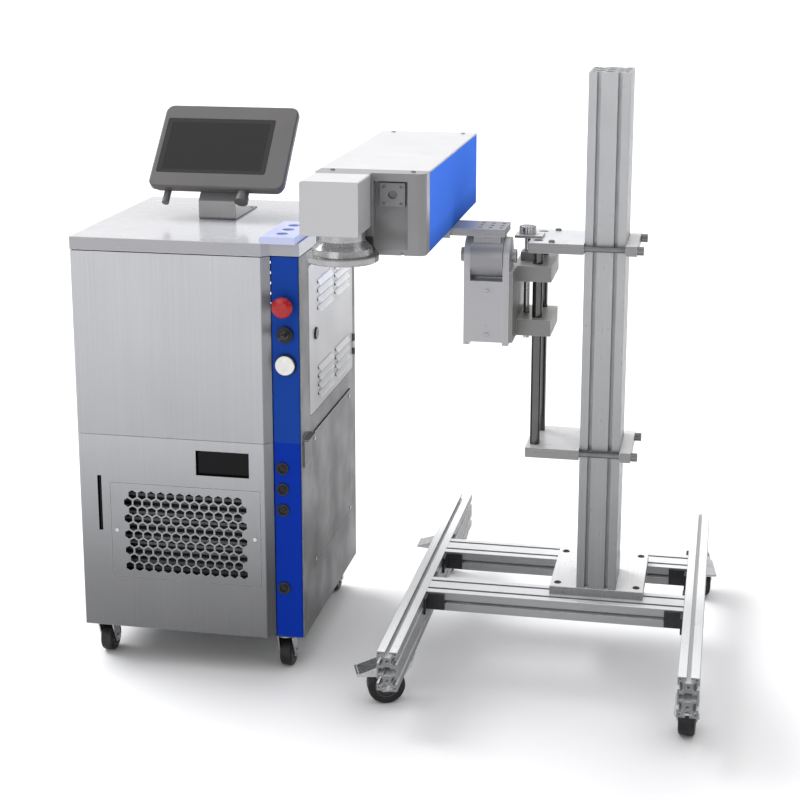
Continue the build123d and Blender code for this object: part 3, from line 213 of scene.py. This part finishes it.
def surface(name, colour, roughness, metallic=0.0, cloud=0.06, cloud_scale=7.0, grain=0.01,
            grain_scale=900.0, drawn=None, edge=None, edge_radius=0.0006, height_shade=None, coat=0.0,
            spread=0.08, split=None, shine=0.5, upright_shade=1.0, painted_light_zones=()):
    """The shop finish that all parts share, in its variations, with painted shade and highlight.

    cloud is how far the tone drifts, spread how far the roughness does, grain the height of the
    fine texture in millimetres, drawn a stretch for brushed or drawn lines, edge the colour that
    the corners wear to, tones a list of (height, factor) of painted shade by height, split a pair
    (height, colour above it), sides the factor of painted shade on upright faces, zones a list of
    (axis, low, high, factor) of painted shade where the factor is below 1 and painted highlight
    where it is above, coat the clear coat's weight and shine the specular level."""
    paint = Paint(name, roughness, metallic)
    worn = paint.rounded_edges(edge_radius) if edge is not None else None
    drift = paint.noise(cloud_scale, detail=5.0)
    share = paint.remap(drift, 0.3, 0.7, 0.0, 1.0)
    tone = paint.mix(share, shade(colour, 1 - cloud), shade(colour, 1 + cloud))
    if split is not None:
        above = paint.math("GREATER_THAN", paint.axis("Z"), split[0])
        tone = paint.mix(above, tone, split[1])
    # painted shade: the colour darkens by height
    if height_shade is not None:
        tone = paint.times(tone, paint.gradient(height_shade))
    # painted shade: upright faces darker than level ones
    if upright_shade != 1.0:
        tone = paint.times(tone, paint.remap(paint.upright(), 0.0, 1.0, 1.0, upright_shade))
    # painted shade in bands along an axis, and painted highlight where a band's factor is above 1
    for axis, low, high, factor in painted_light_zones:
        tone = paint.times(tone, paint.remap(paint.zone(axis, low, high), 0.0, 1.0, 1.0, factor))
    smear = paint.noise(cloud_scale * 4, detail=6.0)
    gloss = paint.remap(smear, 0.3, 0.7, roughness - spread, roughness + spread)
    if drawn is not None:
        lines = paint.noise(1.0, stretch=drawn, detail=4.0)
        tone = paint.mix(paint.remap(lines, 0.35, 0.65, 0.0, 0.16), tone, shade(colour, 0.55))
        gloss = paint.math("ADD", gloss, paint.remap(lines, 0.3, 0.7, -0.05, 0.07), clamp=True)
        paint.bump(lines, 0.02 * MM, 0.5)
    if edge is not None:
        broken = paint.math("MULTIPLY", worn, paint.remap(paint.noise(160.0), 0.35, 0.65, 0.55, 1.0))
        tone = paint.mix(broken, tone, edge)
    paint.bump(paint.noise(grain_scale, detail=2.0), grain * MM, 0.6)
    paint.shader.inputs["Specular IOR Level"].default_value = shine
    if coat:
        paint.shader.inputs["Coat Weight"].default_value = coat
        paint.shader.inputs["Coat Roughness"].default_value = 0.12
    return paint.finish(tone, gloss)


def radial_surface(name, centre, axis, stops, roughness, metallic=0.0, grain=0.05):
    """A turned part in rings of different materials: stops are (radius in metres, colour)."""
    paint = Paint(name, roughness, metallic)
    worn = paint.rounded_edges(0.0005)
    offset = paint.node("ShaderNodeVectorMath", operation="SUBTRACT")
    paint.link(paint.place, offset.inputs[0])
    offset.inputs[1].default_value = centre
    along = paint.node("ShaderNodeVectorMath", operation="CROSS_PRODUCT")
    paint.link(offset.outputs[0], along.inputs[0])
    along.inputs[1].default_value = axis
    length = paint.node("ShaderNodeVectorMath", operation="LENGTH")
    paint.link(along.outputs[0], length.inputs[0])
    tone = stops[0][1]
    for radius, colour in stops[1:]:
        outside = paint.math("GREATER_THAN", length.outputs["Value"], radius)
        tone = paint.mix(outside, tone, colour)
    dust = paint.remap(paint.noise(60.0, detail=6.0), 0.45, 0.75, 0.0, 0.22)
    tone = paint.mix(dust, tone, (0.08, 0.078, 0.075))
    tone = paint.mix(paint.math("MULTIPLY", worn, 0.3), tone, (0.2, 0.2, 0.2))
    paint.shader.inputs["Specular IOR Level"].default_value = 0.3
    gloss = paint.remap(paint.noise(90.0, detail=5.0), 0.3, 0.7, roughness - 0.1, roughness + 0.12)
    paint.bump(paint.noise(1400.0, detail=2.0), grain * MM, 0.7)
    return paint.finish(tone, gloss)


# ======================= the machine's materials =======================

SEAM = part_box("front_panel_upper")[0].z
FLOOR_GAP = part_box("front_panel_lower")[0].z
LID_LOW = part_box("top_lid")[0].z
# CORNER_LEFT and HOODS_FROM start the bands of painted shade and painted highlight
CORNER_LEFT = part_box("front_panel_upper")[1].x - CORNER_WIDTH
HOODS_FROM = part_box("upper_door")[1].x - HOOD_DEPTH

ALONG_X = (2.0, 900.0, 900.0)
ALONG_Y = (900.0, 2.0, 900.0)
ALONG_Z = (900.0, 900.0, 2.0)


def silver(name, height_shade, base=(0.455, 0.46, 0.475), metallic=0.45, painted_light_zones=()):
    return surface(name, base, 0.40, metallic=metallic, cloud=0.03, cloud_scale=3.0, grain=0.004,
                   grain_scale=1500.0, drawn=ALONG_Z, edge=(0.80, 0.80, 0.81), edge_radius=0.0009,
                   height_shade=height_shade, painted_light_zones=painted_light_zones)


def anodised(name, drawn, height_shade=None, upright_shade=1.0, metallic=0.4):
    return surface(name, (0.86, 0.87, 0.885), 0.36, metallic=metallic, cloud=0.03, cloud_scale=12.0,
                   grain=0.003, grain_scale=2500.0, drawn=drawn, edge=(0.93, 0.93, 0.94),
                   edge_radius=0.0007, height_shade=height_shade, upright_shade=upright_shade)


def machine_materials():
    """One material for each CAD node."""
    made = {}

    def use(material, *names):
        for name in names:
            made[name] = material

    # Painted shade: both front panels darken in a band CORNER_WIDTH wide at their +X edge, and darken towards the
    # bottom, the lower panel and grille strongly.
    corner_shade = [("X", CORNER_LEFT, 0.0, 0.62)]
    use(silver("front_upper_silver", [(SEAM, 0.80), (0.70, 0.96), (LID_LOW, 1.0)], painted_light_zones=corner_shade),
        "front_panel_upper")
    lower = silver("front_lower_silver", [(FLOOR_GAP, 0.30), (0.20, 0.38), (0.40, 0.72), (SEAM, 0.88)],
                   painted_light_zones=corner_shade)
    use(lower, "front_panel_lower", "vent_grille")
    # Painted shade: the left, rear and right panels and the service cover are the silver darkened to about a
    # fifth, a little darker still towards the bottom.
    side = silver("side_silver", [(FLOOR_GAP, 0.15), (0.35, 0.19), (LID_LOW, 0.21)])
    use(side, "left_panel", "rear_panel", "right_panel", "service_cover")
    # Painted shade: the door darkens towards the bottom. Painted highlight: the louvre hoods beyond HOODS_FROM are
    # lightened 1.8 times.
    use(silver("door_silver", [(0.53, 0.42), (0.68, 0.60), (LID_LOW, 0.95)], base=(0.94, 0.94, 0.95),
               metallic=0.0, painted_light_zones=[("X", HOODS_FROM, BEYOND, 1.8)]), "upper_door")
    # Painted shade: the lid's upright faces are darkened to 0.54 of its top.
    use(surface("lid_pearl", (0.60, 0.60, 0.625), 0.22, cloud=0.02, grain=0.004, edge=(0.90, 0.90, 0.92),
                edge_radius=0.0015, coat=0.6, upright_shade=0.54), "top_lid")
    use(surface("strip_blue", (0.003, 0.030, 0.33), 0.42, cloud=0.02, grain=0.004, shine=0.03, spread=0.03,
                edge=(0.06, 0.15, 0.60), edge_radius=0.0012, split=(SEAM, (0.010, 0.052, 0.30))),
        "control_strip")
    cover_low, cover_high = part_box("head_side_cover")
    # Painted shade: the blue cover darkens towards its bottom edge over its lowest COVER_FADE.
    use(surface("cover_blue", (0.085, 0.245, 1.0), 0.40, cloud=0.01, grain=0.004, shine=0.0, spread=0.02,
                edge=(0.01, 0.03, 0.25), edge_radius=0.0012,
                height_shade=[(cover_low.z, 0.55), (cover_low.z + COVER_FADE, 0.9), (cover_high.z, 1.0)]),
        "head_side_cover")
    use(surface("rack_lavender", (0.50, 0.53, 0.72), 0.38, cloud=0.03, grain=0.02,
                edge=(0.82, 0.84, 0.95), edge_radius=0.001), "cable_rack")
    use(surface("frame_paint", (0.05, 0.053, 0.058), 0.55, grain=0.06, grain_scale=700.0,
                edge=(0.12, 0.12, 0.12)), "base_frame")
    use(surface("window_dark", (0.004, 0.004, 0.005), 0.12, cloud=0.1, grain=0.002, shine=0.12,
                edge=(0.03, 0.03, 0.03)), "front_windows")
    use(surface("black_moulding", (0.007, 0.007, 0.008), 0.40, grain=0.02, grain_scale=600.0, shine=0.3,
                edge=(0.12, 0.12, 0.12), edge_radius=0.0005), "strip_fittings", "fan_rotor")
    use(surface("module_grey", (0.10, 0.105, 0.11), 0.55, grain=0.06, edge=(0.2, 0.2, 0.2)), "inner_modules")
    use(surface("screw_steel", (0.52, 0.52, 0.53), 0.30, metallic=0.9, cloud=0.1, cloud_scale=80.0,
                edge=(0.8, 0.8, 0.8), edge_radius=0.0003), "cabinet_screws")
    use(surface("clamp_steel", (0.17, 0.17, 0.175), 0.32, metallic=0.85, cloud=0.12, cloud_scale=40.0,
                edge=(0.55, 0.55, 0.55), edge_radius=0.0006), "clamp_bolts")
    use(surface("black_oxide", (0.035, 0.035, 0.038), 0.40, metallic=0.7, cloud=0.15, cloud_scale=60.0,
                edge=(0.28, 0.28, 0.28), edge_radius=0.0004), "stand_bolts")
    use(surface("post_grey", (0.30, 0.295, 0.29), 0.36, metallic=0.3, grain=0.015, drawn=(900.0, 60.0, 2.0),
                edge=(0.5, 0.5, 0.5), edge_radius=0.0008), "screen_post")
    use(surface("housing_taupe", (0.085, 0.081, 0.078), 0.42, grain=0.03, grain_scale=800.0,
                edge=(0.22, 0.21, 0.20), edge_radius=0.0010), "screen_housing")
    use(screen_glass_material(), "screen_glass")
    use(surface("estop_red", (0.36, 0.003, 0.004), 0.26, cloud=0.03, cloud_scale=60.0, grain=0.002, coat=0.3,
                shine=0.3, edge=(0.85, 0.06, 0.05), edge_radius=0.0008), "estop_button")
    use(surface("key_black_nickel", (0.035, 0.035, 0.037), 0.25, metallic=0.7, cloud=0.15, cloud_scale=90.0,
                edge=(0.45, 0.45, 0.45), edge_radius=0.0004), "key", "door_lock")
    use(surface("button_satin", (0.62, 0.615, 0.60), 0.30, metallic=0.8, cloud=0.06, cloud_scale=70.0,
                drawn=(900.0, 900.0, 6.0), edge=(0.92, 0.92, 0.9), edge_radius=0.0008), "start_button")
    # Painted shade: the rails and crossbars are darkened on their upright faces, and the column is darkened
    # strongly towards the bottom; all three are shaded copies of one anodised finish.
    use(anodised("rail_anodised", ALONG_Y, upright_shade=0.16, metallic=0.1), "left_rail", "right_rail")
    use(anodised("bar_anodised", ALONG_X, upright_shade=0.34, metallic=0.4), "crossbars")
    use(anodised("column_anodised", ALONG_Z, height_shade=[(0.19, 0.21), (0.55, 0.35), (1.24, 0.48)], metallic=0.5),
        "column")
    # Painted shade: the base plate and the clamp arms are darkened on their upright faces.
    use(surface("milled_plate", (0.92, 0.92, 0.93), 0.34, metallic=0.1, cloud=0.03, grain=0.004, upright_shade=0.22,
                drawn=(300.0, 8.0, 300.0), edge=(0.95, 0.95, 0.95), edge_radius=0.0010), "base_plate")
    use(surface("arm_plate", (0.80, 0.80, 0.81), 0.32, metallic=0.3, cloud=0.04, grain=0.004, upright_shade=0.26,
                drawn=(6.0, 500.0, 500.0), edge=(0.95, 0.95, 0.95), edge_radius=0.0009), "clamp_arms")
    use(surface("rod_polished", (0.11, 0.108, 0.106), 0.16, metallic=1.0, cloud=0.08, cloud_scale=30.0,
                grain=0.002, spread=0.05, drawn=ALONG_Z, edge=(0.8, 0.8, 0.8)), "guide_rods")
    use(surface("screw_polished", (0.42, 0.42, 0.42), 0.22, metallic=1.0, cloud=0.08, cloud_scale=30.0,
                grain=0.004, edge=(0.8, 0.8, 0.8)), "lift_screw")
    # Painted shade: the carriage, tilt yoke and head mount are darkened on their upright faces.
    use(surface("carriage_taupe", (0.52, 0.51, 0.50), 0.38, metallic=0.3, cloud=0.04, grain=0.004, upright_shade=0.36,
                edge=(0.66, 0.65, 0.64), edge_radius=0.0009), "carriage")
    use(surface("yoke_pearl", (0.44, 0.44, 0.455), 0.34, metallic=0.25, cloud=0.03, grain=0.005, upright_shade=0.8,
                edge=(0.9, 0.9, 0.9), edge_radius=0.0009), "tilt_yoke")
    use(surface("mount_plate", (0.40, 0.40, 0.415), 0.34, metallic=0.4, cloud=0.03, grain=0.005, upright_shade=0.6,
                drawn=(6.0, 400.0, 400.0), edge=(0.9, 0.9, 0.9), edge_radius=0.0009), "head_mount")
    # Painted shade: the head shell's upright faces are darkened, and more in a band CAP_DEPTH deep in front of the
    # blue cover, over the cap.
    cap_front = cover_low.y
    use(surface("head_pearl", (0.66, 0.66, 0.675), 0.36, metallic=0.12, cloud=0.02, grain=0.005,
                grain_scale=1200.0, edge=(0.30, 0.30, 0.31), edge_radius=0.0014, coat=0.1, upright_shade=0.68,
                painted_light_zones=[("Y", cap_front - CAP_DEPTH, cap_front, 0.48)]), "head_shell")
    use(surface("lens_satin", (0.35, 0.35, 0.355), 0.28, metallic=0.85, cloud=0.02, cloud_scale=40.0,
                grain=0.002), "lens")
    zinc = surface("zinc_plate", (0.48, 0.48, 0.50), 0.30, metallic=0.9, cloud=0.14, cloud_scale=55.0,
                   grain=0.01, edge=(0.85, 0.85, 0.86), edge_radius=0.0007)
    for name in NODES:
        if "_fork_" in name or name.startswith("brake_pedal"):
            made[name] = zinc
        elif "_wheel_" in name:
            made[name] = wheel_material(name)
    return made


def screen_glass_material():
    """Dark cover glass with a slightly lighter display area behind it."""
    low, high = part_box("screen_glass")
    middle = (low.x + high.x) / 2
    paint = Paint("screen_glass", 0.06)
    across = paint.math("ABSOLUTE", paint.math("SUBTRACT", paint.axis("X"), middle))
    half = (high.x - low.x) / 2
    inside = paint.math("LESS_THAN", across, half - GLASS_SIDE)
    above = paint.math("GREATER_THAN", paint.axis("Z"), low.z + GLASS_LOW)
    below = paint.math("LESS_THAN", paint.axis("Z"), high.z - GLASS_TOP)
    display = paint.math("MULTIPLY", paint.math("MULTIPLY", inside, above), below)
    tone = paint.mix(display, (0.022, 0.022, 0.023), (0.010, 0.010, 0.011))
    smear = paint.noise(14.0, stretch=(1.0, 2.5, 2.5), detail=6.0)
    gloss = paint.remap(smear, 0.35, 0.75, 0.05, 0.14)
    paint.bump(paint.noise(30.0), 0.004 * MM, 0.3)
    paint.shader.inputs["Specular IOR Level"].default_value = 0.3
    return paint.finish(tone, gloss)


def wheel_material(name):
    """Black tyre round a dark grey hub, centred on the wheel's own axle."""
    low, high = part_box(name)
    centre = (low + high) / 2
    radius = (high.z - low.z) / 2
    turn = next(joint for joint in frame["joints"] if joint["child"] == wheel_body(name))
    stops = [(0.0, (0.05, 0.05, 0.052)), (radius * HUB_SHARE, (0.009, 0.009, 0.010))]
    return radial_surface("tyre_" + name, tuple(centre), tuple(turn["axis"]), stops, 0.45)


def wheel_body(name):
    for body, members in frame["record"]["behaviour"]["bodies"].items():
        if name in members:
            return body
    return None


def dress_nodes():
    for name, material in machine_materials().items():
        slots = NODES[name].data.materials
        slots.clear()
        slots.append(material)


# ======================= stage, light and camera =======================

def make_floor():
    mesh = bpy.data.meshes.new("floor")
    half = FLOOR_SIZE / 2
    corners = [(-half, -half, 0), (half, -half, 0), (half, half, 0), (-half, half, 0)]
    mesh.from_pydata(corners, [], [(0, 1, 2, 3)])
    floor = bpy.data.objects.new("floor", mesh)
    bpy.context.scene.collection.objects.link(floor)
    paint = Paint("floor_pale", 0.6)
    drift = paint.noise(1.3, detail=3.0)
    mesh.materials.append(paint.finish(paint.mix(drift, *FLOOR_TONES)))
    paint.shader.inputs["Specular IOR Level"].default_value = 0.1


def make_sun(name, direction, strength, spread):
    light = bpy.data.lights.new(name, "SUN")
    light.energy = strength
    light.angle = math.radians(spread)
    lamp = bpy.data.objects.new(name, light)
    lamp.rotation_euler = Vector(direction).to_track_quat("Z", "Y").to_euler()
    bpy.context.scene.collection.objects.link(lamp)


def make_world():
    world = bpy.data.worlds.new("studio")
    world.use_nodes = True
    nodes, links = world.node_tree.nodes, world.node_tree.links
    background = nodes["Background"]
    background.inputs["Color"].default_value = (1.0, 1.0, 1.0, 1.0)
    seen = nodes.new("ShaderNodeBackground")
    seen.inputs["Color"].default_value = (1.0, 1.0, 1.0, 1.0)
    seen.inputs["Strength"].default_value = 1.0
    where = nodes.new("ShaderNodeTexCoord")
    split = nodes.new("ShaderNodeSeparateXYZ")
    links.new(where.outputs["Generated"], split.inputs[0])

    def ranged(axis, span, low, high):
        made = nodes.new("ShaderNodeMapRange")
        for index, number in zip((1, 2, 3, 4), (*span, low, high)):
            made.inputs[index].default_value = number
        links.new(split.outputs[axis], made.inputs[0])
        return made.outputs[0]

    strength = nodes.new("ShaderNodeMath")
    strength.operation = "MULTIPLY_ADD"
    links.new(ranged("Y", SKY_SPAN, SKY_FRONT, SKY_BACK), strength.inputs[0])
    links.new(ranged("X", SKY_SPAN, 1.0, SKY_RIGHT_SHARE), strength.inputs[1])
    links.new(ranged("Z", SKY_TOP_SPAN, 0.0, SKY_TOP), strength.inputs[2])
    links.new(strength.outputs[0], background.inputs["Strength"])
    path = nodes.new("ShaderNodeLightPath")
    mix = nodes.new("ShaderNodeMixShader")
    links.new(path.outputs["Is Camera Ray"], mix.inputs[0])
    links.new(background.outputs[0], mix.inputs[1])
    links.new(seen.outputs[0], mix.inputs[2])
    links.new(mix.outputs[0], nodes["World Output"].inputs["Surface"])
    bpy.context.scene.world = world


def make_camera():
    data = bpy.data.cameras.new("camera")
    data.lens = CAMERA_LENS
    data.sensor_width = SENSOR_WIDTH
    data.shift_y = CAMERA_SHIFT_Y
    data.clip_end = 200.0
    camera = bpy.data.objects.new("camera", data)
    camera.location = CAMERA_PLACE
    camera.rotation_euler = (math.radians(90 - CAMERA_PITCH), 0, math.radians(CAMERA_YAW))
    bpy.context.scene.collection.objects.link(camera)
    bpy.context.scene.camera = camera


make_camera()
make_world()
make_sun("key", KEY_TO_LIGHT, KEY_STRENGTH, KEY_SPREAD)
make_sun("fill", FILL_TO_LIGHT, FILL_STRENGTH, FILL_SPREAD)
make_floor()
dress_nodes()
bpy.context.scene.view_settings.view_transform = "Standard"
